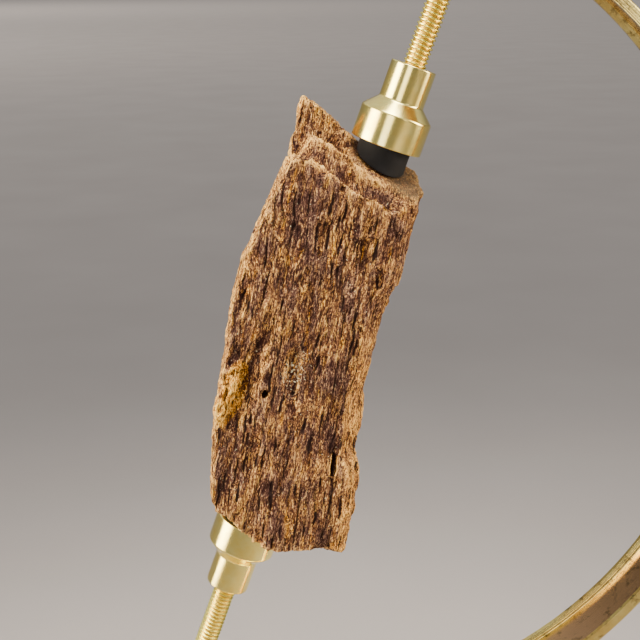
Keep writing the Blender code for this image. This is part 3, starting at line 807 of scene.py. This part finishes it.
def makeThreadBrass():
    # brass rod with a die-cut thread: bright yellow crests, darker brown towards the roots, with a soft
    # mottle
    values = screwValues
    material, tree, shader = newMaterial("dieCutBrass", {"Metallic": 1.0})
    spot = millimetresIn(tree, clampPlace)
    parts = addNode(tree, "SeparateXYZ", {}, {0: spot})
    radius = distanceFrom(tree, parts.outputs[0], parts.outputs[1])
    depth = addNode(tree, "MapRange", {"From Min": values["root"], "From Max": values["radius"]},
                    {0: radius})
    mottle = addNode(tree, "TexNoise", values["mottle"], {"Vector": spot})
    height = addNode(tree, "Math", {"operation": "MULTIPLY_ADD", 1: values["mottleShare"]}, {0: mottle, 2: depth})
    colour = addNode(tree, "ValToRGB", {"stops": values["colours"]}, {0: height})
    wear = addNode(tree, "MapRange", values["roughness"], {0: height})
    plugIn(tree, shader, colour=colour, roughness=wear)
    return material


threadBrass = makeThreadBrass()
# moulded black rubber: matt, faintly grainy, a little dust
rubber = makeDullMaterial("mouldedRubber", {
    "shader": {"Roughness": 0.75, "IOR": 1.5, "Specular IOR Level": 0.3},
    "tint": {"Scale": 500.0, "Detail": 5.0},
    "colours": ((0.45, "#0b0a0c"), (0.85, "#1e1d21")),
    "grain": {"Scale": 2600.0, "Detail": 3.0},
    "relief": {"Strength": 0.4, "Distance": 0.05 * mm},
})

ferruleValues = {  # mm
    "radius": 6.3,
    "neck": 4.0,
    "head": 5.6,
    "cone": 2.2,
    "tail": 6.4,
    "pocket": 1.5,
    "boreFloor": 4.6,
    "round": 0.22,
}


def makeFerrule(side, place, brass):
    values = ferruleValues
    waist = values["head"] + values["cone"]
    top = waist + values["tail"]
    bore = screwValues["radius"] + air
    pocket = padValues["radius"] + air
    ferrule = latheTurn(side + "Ferrule", [
        (0.0, values["boreFloor"]), (bore, values["boreFloor"]), (bore, top), (values["neck"], top),
        (values["neck"], waist), (values["radius"], values["head"]), (values["radius"], 0.0),
        (pocket, 0.0), (pocket, values["pocket"] + air), (0.0, values["pocket"] + air),
    ])
    roundEdges(ferrule, values["round"])
    settle(ferrule, place)
    finishPiece(ferrule, brass, side + "_clamp", "turned_brass", side + "_ferrule")


def makeScrew(side, place):
    values = screwValues
    pitch = values["pitch"]
    crest = values["crestFlat"] * pitch
    root = values["rootFlat"] * pitch
    flank = 0.5 * (pitch - crest - root)
    turns = math.ceil((values["end"] - values["start"]) / pitch) + values["spareTurns"]
    screw = drawLine(side + "Screw", [
        (values["root"], 0.0, 0.0), (values["root"], 0.0, root),
        (values["radius"], 0.0, root + flank), (values["radius"], 0.0, root + flank + crest),
        (values["root"], 0.0, pitch),
    ])
    startEditing(screw)
    bpy.ops.mesh.screw(steps=values["steps"], turns=turns, **upright)
    weldPoints(values["weld"])
    low = min(vert.co.z for vert in bmesh.from_edit_mesh(screw.data).verts)
    first = values["start"] - values["lead"] * pitch
    bpy.ops.transform.translate(value=(0.0, 0.0, first * mm - low))
    for height, down in ((values["end"], False), (values["start"], True)):
        selectAll()
        bpy.ops.mesh.bisect(plane_co=(0.0, 0.0, height * mm), plane_no=(0.0, 0.0, 1.0),
                            clear_inner=down, clear_outer=not down)
    bpy.ops.mesh.select_all(action="DESELECT")
    bpy.ops.mesh.select_non_manifold(extend=False)
    bpy.ops.mesh.fill_holes(sides=0)  # flat end caps
    finishMesh()
    bpy.ops.object.shade_smooth_by_angle(angle=math.radians(values["smoothAngle"]))
    settle(screw, place)
    finishPiece(screw, threadBrass, side + "_clamp", "threaded_brass", side + "_clamp_screw")


knobValues = {  # mm
    "radius": 7.0,
    "low": 60.6,
    "length": 8.0,
    "dome": ((0.0, 0.0), (4.34, 0.1), (6.3, 0.5), (7.0, 1.2)),  # radius, depth below the top
    "chamfer": (0.5, 0.4),  # width, height
    "bore": 4.8,
    "flutes": 15,
    "fluteSteps": 8,  # faces round the wall in one flute's share
    "fluteSpan": (0.3, 0.7),
    "fluteDepth": 0.5,
    "wall": (0.3, 0.9),  # lean and radius that make a face part of the wall
    "round": {"width": 0.15, "segments": 2, "angle": 24.0},
}


def makeKnob(side, place, brass):
    values = knobValues
    low = values["low"]
    radius = values["radius"]
    bore = screwValues["radius"] + air
    floor = low + values["bore"] + air
    width, height = values["chamfer"]
    dome = [(across, low + values["length"] - depth) for across, depth in values["dome"]]
    knob = latheTurn(side + "Knob", dome + [
        (radius, low + height), (radius - width, low), (bore, low), (bore, floor), (0.0, floor),
    ], steps=values["flutes"] * values["fluteSteps"])
    startEditing(knob, "FACE")
    pitch = 2.0 * math.pi / values["flutes"]
    lean, edge = values["wall"]
    start, end = values["fluteSpan"]

    def inFlute(centre, normal):
        share = (math.atan2(centre.y, centre.x) / pitch) % 1.0
        onWall = abs(normal.z) < lean and math.hypot(centre.x, centre.y) > edge * radius * mm
        return onWall and start < share < end

    selectFaces(knob, inFlute)
    bpy.ops.transform.shrink_fatten(value=-values["fluteDepth"] * mm)
    stopEditing()
    roundEdges(knob, **values["round"])
    settle(knob, place)
    finishPiece(knob, brass, side + "_clamp", "turned_brass", side + "_knob")


def makePad(side, place):
    values = padValues
    cut = side == "upper"  # the upper pad's face follows the bone's ground seat
    foot = values["seatHeight"] - layout["upperFace"] - values["spare"] if cut else values["lowerFoot"]
    pad = addCylinder(side + "Pad", values["radius"], foot, ferruleValues["pocket"])
    if cut:
        slopeX, slopeY = values["seatSlope"]
        normal = Vector((-slopeX, -slopeY, 1.0)).normalized()
        height = values["seatHeight"] - layout["upperFace"] + air / normal.z
        startEditing(pad)
        bpy.ops.mesh.bisect(plane_co=(0.0, 0.0, height * mm), plane_no=normal, use_fill=True,
                            clear_inner=True)
        stopEditing()
    roundEdges(pad, values["round"])
    settle(pad, place)
    finishPiece(pad, rubber, side + "_clamp", "black_rubber", side + "_pad")


for side, place, brass in (("upper", upperPlace, upperBrass), ("lower", lowerPlace, lowerBrass)):
    makeFerrule(side, place, brass)
    makeScrew(side, place)
    makeKnob(side, place, brass)
    makePad(side, place)
print("clamps made")

arcValues = {  # mm
    "radius": 79.2,  # inside face of the web
    "web": 0.75,
    "width": 12.7,
    "lipHeight": 1.2,
    "lipThickness": 1.1,
    "lipSlope": 0.2,
    "edgeRound": 0.3,
    "overrun": 6.0,  # degrees past the half circle, before the ends are rounded
    "steps": 240,
    "trim": (20.0, 12.0),  # length and height of the block that rounds an end
    "endReach": 10.0,  # the cutters' reach from the web
    "holeReach": 6.0,
    "bossHole": 3.8,
    "boltHole": 1.8,
    "round": {"width": 0.18, "segments": 2},
    "polish": ((0.35, "#f6e28c"), (0.75, "#c89c46")),
    "tarnish": {"Scale": 0.12, "Detail": 5.0, "Roughness": 0.65},  # cells per mm
    "roughness": {"To Min": 0.13, "To Max": 0.27},
    "drawLines": {"noise_dimensions": "2D", "Scale": 4.5, "Detail": 2.0},
    "relief": {"Strength": 0.6, "Distance": 0.03 * mm},
    # brown painted on the channel's inner face between the lips: painted shade
    "troughShade": "#b8926a",
    "troughShadeAside": {"From Min": 5.2, "From Max": 3.4},  # from the middle of the width
    "troughShadeInside": {"From Min": 79.6, "From Max": 79.4},  # from the arc's centre
    "stain": "#77603a",
    "stains": {"Scale": 0.55, "Detail": 5.0, "Roughness": 0.7},
    "stainEdge": {"From Min": 0.54, "From Max": 0.64, "To Max": 0.7},
}


arcOutside = arcValues["radius"] + arcValues["web"]
arcFoot = layout["centreHeight"] - arcOutside


def makeRolledBrass():
    # brass strip rolled to a channel and bent: long fine draw lines that follow the arc
    values = arcValues
    material, tree, shader = newMaterial("rolledBrass", {"Metallic": 1.0})
    spot = millimetresIn(tree, arcCentre)
    parts = addNode(tree, "SeparateXYZ", {}, {0: spot})
    radius = distanceFrom(tree, parts.outputs[0], parts.outputs[2])
    across = addNode(tree, "CombineXYZ", {}, {0: radius, 1: parts.outputs[1]})
    lines = addNode(tree, "TexNoise", values["drawLines"], {"Vector": across})
    tarnish = addNode(tree, "TexNoise", values["tarnish"], {"Vector": spot})
    stains = addNode(tree, "TexNoise", values["stains"], {"Vector": spot})
    colour = addNode(tree, "ValToRGB", {"stops": values["polish"]}, {0: tarnish})
    # the trough between the lips is painted a darker brown, painted shade on the channel's inner face, and
    # small stains lie anywhere over it
    aside = addNode(tree, "Math", {"operation": "ABSOLUTE"}, {0: parts.outputs[1]})
    between = addNode(tree, "MapRange", values["troughShadeAside"], {0: aside})
    inward = addNode(tree, "MapRange", values["troughShadeInside"], {0: radius})
    trough = addNode(tree, "Math", {"operation": "MULTIPLY"}, {0: between, 1: inward})
    stained = addNode(tree, "MapRange", values["stainEdge"], {0: stains})
    for share, other in ((trough, "troughShade"), (stained, "stain")):
        mixed = addNode(tree, "Mix", {"data_type": "RGBA", 7: linearColour(values[other])},
                        {0: share, 6: colour})
        colour = mixed.outputs[2]
    wear = addNode(tree, "MapRange", {**noiseSpan, **values["roughness"]}, {0: tarnish})
    marks = addNode(tree, "Bump", values["relief"], {"Height": lines})
    plugIn(tree, shader, colour=colour, roughness=wear, normal=marks)
    return material


def trimEnd(arc, sign):
    # rounds one end to a half disc and drills the hole for its boss
    values = arcValues
    web = sign * values["radius"]
    length, height = values["trim"]
    clearSelection()
    bpy.ops.mesh.primitive_cube_add(size=1.0, location=(-0.5 * length * mm, 0.0, web * mm))
    trim = bpy.context.object
    trim.scale = (length * mm, 2.0 * values["width"] * mm, height * mm)
    settle(trim, trim.matrix_basis.copy())
    reach = values["endReach"]
    carve(trim, addCylinder("keepEnd", 0.5 * values["width"], web - reach, web + reach, steps=64))
    carve(arc, trim)
    reach = values["holeReach"]
    carve(arc, addCylinder("bossHole", values["bossHole"], web - reach, web + reach, steps=48))


def makeArc():
    values = arcValues
    half = 0.5 * values["width"]
    lip = values["radius"] - values["lipHeight"]
    lipFoot = half - values["lipThickness"]
    upperHalf = [
        (arcOutside, half - values["edgeRound"]), (arcOutside - values["edgeRound"], half), (lip, half),
        (lip, lipFoot + values["lipSlope"]), (values["radius"], lipFoot - values["lipSlope"]),
    ]
    section = upperHalf + [(radius, -y) for radius, y in reversed(upperHalf)]
    arc = drawLine("brassArc", [(radius, y, 0.0) for radius, y in section], closed=True)
    startEditing(arc, "FACE")
    sweep = math.pi + 2.0 * math.radians(values["overrun"])
    bpy.ops.mesh.spin(steps=values["steps"], angle=sweep, center=(0.0, 0.0, 0.0), axis=(0.0, 1.0, 0.0))
    finishMesh()
    farthest = max(arc.data.vertices, key=lambda vert: abs(vert.co.z)).co
    settle(arc, Matrix.Rotation(math.copysign(0.5 * sweep, farthest.z), 4, "Y"))
    for sign in (1.0, -1.0):
        trimEnd(arc, sign)
    reach = values["holeReach"]
    bolt = addCylinder("boltHole", values["boltHole"], -values["radius"] - reach, -values["radius"] + reach,
                       steps=32)
    settle(bolt, Matrix.Rotation(-clampTilt, 4, "Y"))
    carve(arc, bolt)
    roundEdges(arc, **values["round"])
    settle(arc, clampPlace)
    finishPiece(arc, makeRolledBrass(), "stand", "rolled_brass", "brass_arc")


bossValues = {  # mm
    "radius": 5.0,
    "neck": 3.5,  # through the arc's end
    "length": 7.0,
    "round": 0.3,
}


def makeBoss(side, turn, brass):
    values = bossValues
    shoulder = arcOutside + air
    end = shoulder + values["length"]
    inside = arcValues["radius"] - arcValues["lipHeight"]
    bore = screwValues["radius"] + air
    boss = latheTurn(side + "Boss", [
        (values["radius"], end), (values["radius"], shoulder), (values["neck"], shoulder),
        (values["neck"], inside), (bore, inside), (bore, end),
    ])
    roundEdges(boss, values["round"])
    settle(boss, clampPlace @ turn)
    finishPiece(boss, brass, "stand", "turned_brass", side + "_boss")


makeArc()
makeBoss("upper", Matrix.Identity(4), upperBrass)
makeBoss("lower", turnedOver, lowerBrass)
print("arc and bosses made")

stemValues = {  # mm
    "headProfile": ((0.0, 2.0), (6.0, 2.0), (6.0, -4.0), (5.2, -5.2), (3.6, -7.5)),  # from the arc
    "neckProfile": ((3.6, 4.0), (5.2, 2.2), (5.2, 0.3)),  # radius, height above the foot's collar
    "collarTop": 17.0,
    "spigot": 3.0,
    "spigotLength": 9.0,
    "saddle": {"reach": 20.0, "steps": 360},
    "boltRadius": 1.5,
    "boltLength": 8.0,
    "boltHead": 2.2,
    "boltHeadRadius": 3.4,
    "boltSteps": 64,
    "hex": {"radius": 1.5, "depth": 1.2, "over": 1.0},  # socket in the bolt's head
    "round": 0.25,
}


def makeStem():
    values = stemValues
    top = values["collarTop"]
    spigotEnd = top - values["spigotLength"]
    head = [(radius, arcFoot + height) for radius, height in values["headProfile"]]
    neck = [(radius, top + height) for radius, height in values["neckProfile"]]
    stem = latheTurn("standStem", head + neck + [
        (values["spigot"], top + air), (values["spigot"], spigotEnd), (0.0, spigotEnd),
    ])
    reach = values["saddle"]["reach"]
    cutter = addCylinder("saddleCutter", arcOutside + air, -reach, reach, values["saddle"]["steps"])
    settle(cutter, arcCentre @ Matrix.Rotation(0.5 * math.pi, 4, "X"))
    carve(stem, cutter)
    reach = values["boltLength"]
    carve(stem, addCylinder("boltCutter", values["boltRadius"] + air, arcFoot - reach - air,
                            arcFoot + reach, steps=48))
    roundEdges(stem, values["round"])
    finishPiece(stem, standBrass, "stand", "turned_brass", "stem")


def makeBolt():
    values = stemValues
    seat = arcFoot + arcValues["web"] + air
    head = seat + values["boltHead"]
    end = arcFoot - values["boltLength"] + air
    bolt = latheTurn("stemBolt", [
        (0.0, head), (values["boltHeadRadius"], head), (values["boltHeadRadius"], seat),
        (values["boltRadius"], seat), (values["boltRadius"], end), (0.0, end),
    ], steps=values["boltSteps"])
    socket = values["hex"]
    carve(bolt, addCylinder("hexCutter", socket["radius"], head - socket["depth"], head + socket["over"],
                            steps=6))
    roundEdges(bolt, values["round"])
    finishPiece(bolt, standBrass, "stand", "turned_brass", "stem_bolt")


footValues = {  # mm
    "profile": ((8.0, 13.6), (9.6, 12.2), (30.0, 10.4), (44.0, 8.2), (45.0, 6.6), (48.4, 6.0),
                (50.0, 4.4)),  # radius, height
    "collar": 8.0,
    "radius": 50.0,
    "chamfer": 0.6,
    "steps": 160,
    "round": {"width": 0.5, "angle": 12.0},
    "felt": 46.0,
    "feltThickness": 1.2,
    "feltRecess": 0.6,
    "feltSteps": 128,
    "feltRound": 0.3,
}
feltFibres = {"Scale": 1400.0, "Detail": 5.0, "Distortion": 1.5}
# pressed wool felt: dull dark green, soft fibres every way
felt = makeDullMaterial("woolFelt", {
    "shader": {"Roughness": 0.95, "Sheen Weight": 0.4},
    "tint": feltFibres,
    "colours": ((0.35, "#16201a"), (0.7, "#2c3c31")),
    "grain": feltFibres,
    "relief": {"Strength": 0.8, "Distance": 0.2 * mm},
})


def makeFoot():
    values = footValues
    rim = values["feltThickness"] - values["feltRecess"] + air
    recess = values["feltThickness"] + air
    top = stemValues["collarTop"]
    bore = stemValues["spigot"] + air
    boreFloor = top - stemValues["spigotLength"] - air
    collar = values["collar"]
    radius = values["radius"]
    chamfer = values["chamfer"]
    socket = [(0.0, boreFloor), (bore, boreFloor), (bore, top), (collar - chamfer, top),
              (collar, top - chamfer)]
    underside = [(radius, rim + chamfer), (radius - chamfer, rim), (values["felt"] + air, rim),
                 (values["felt"] + air, recess), (0.0, recess)]
    foot = latheTurn("weightedFoot", socket + list(values["profile"]) + underside, steps=values["steps"])
    roundEdges(foot, **values["round"])
    finishPiece(foot, standBrass, "stand", "turned_brass", "base")
    pad = addCylinder("feltDisc", values["felt"], 0.0, values["feltThickness"], values["feltSteps"])
    roundEdges(pad, values["feltRound"])
    finishPiece(pad, felt, "stand", "green_felt", "felt_foot")


makeStem()
makeBolt()
makeFoot()
print("stem and foot made")

studioValues = {
    "floorSize": 60.0,  # m
    "sky": ((0.0, "#8c8883"), (0.22, "#97928b"), (0.40, "#e6e3de"), (0.62, "#ffffff")),  # by height
    "skyStrength": 0.85,
    # name, place in mm, what it faces in mm, size in mm, spread in degrees, watts, colour
    "lights": (
        ("keyBox", (-360, -90, 260), (0, -20, 215), (260, 460), 64.0, 1.10, "#fff2dc"),
        ("fillBox", (370, -60, 240), (0, -20, 180), (200, 460), 68.0, 0.85, "#ffeed4"),
        ("topBox", (-10, -120, 560), (-60, -20, 130), (520, 240), 46.0, 0.80, "#fffaf0"),
        ("frontBox", (-520, -1300, 330), (0, 0, 150), (520, 560), 90.0, 0.9, "#fff6ea"),
        ("rightPool", (240, -560, 420), (240, -560, 0), (300, 300), 80.0, 1.7, "#fff6ea"),
        ("edgeBox", (410, -700, 225), (80, 0, 200), (240, 200), 90.0, 0.10, "#fff6ea"),
        ("backBox", (-2800, 2800, 3000), (-2800, 4800, 0), (2500, 1500), 160.0, 106.0, "#fff6ea"),
        ("farBox", (-7000, 9000, 7000), (-7000, 14500, 0), (7000, 5000), 160.0, 900.0, "#fff6ea"),
    ),
}
# pale grey paper roll: dull, with a soft mottle and fine fibres
floorPaper = makeDullMaterial("paleGreyPaper", {
    "shader": {"Roughness": 0.9, "Specular IOR Level": 0.2},
    "tint": {"Scale": 9.0, "Detail": 3.0},
    "colours": ((0.3, "#9b9490"), (0.7, "#a09995")),
    "grain": {"Scale": 900.0, "Detail": 4.0},
    "relief": {"Strength": 0.2, "Distance": 0.1 * mm},
})


def setWorld():
    # soft light from overhead, dim round the horizon, which is what the brass mirrors
    values = studioValues
    world = bpy.data.worlds.new("studio")
    world.use_nodes = True
    tree = world.node_tree
    way = addNode(tree, "TexCoord")
    parts = addNode(tree, "SeparateXYZ", {}, {0: way.outputs["Generated"]})
    sky = addNode(tree, "ValToRGB", {"stops": values["sky"]}, {0: parts.outputs[2]})
    background = tree.nodes["Background"]
    background.inputs["Strength"].default_value = values["skyStrength"]
    connect(tree, sky, background.inputs["Color"])
    bpy.context.scene.world = world


def setStudio():
    values = studioValues
    clearSelection()
    bpy.ops.mesh.primitive_plane_add(size=values["floorSize"], location=(0.0, 0.0, 0.0))
    floor = bpy.context.object
    floor.name = "studioFloor"
    floor.data.materials.append(floorPaper)
    setWorld()
    for name, place, target, size, spread, watts, tint in values["lights"]:
        data = bpy.data.lights.new(name, "AREA")
        data.shape = "RECTANGLE"
        data.size, data.size_y = [side * mm for side in size]
        data.spread = math.radians(spread)
        data.energy = watts
        data.color = linearColour(tint)[:3]
        light = bpy.data.objects.new(name, data)
        light.location = Vector(place) * mm
        facing = (Vector(place) - Vector(target)).to_track_quat("Z", "Y")
        light.rotation_euler = facing.to_euler()
        bpy.context.scene.collection.objects.link(light)


setStudio()
print("floor and lights set")
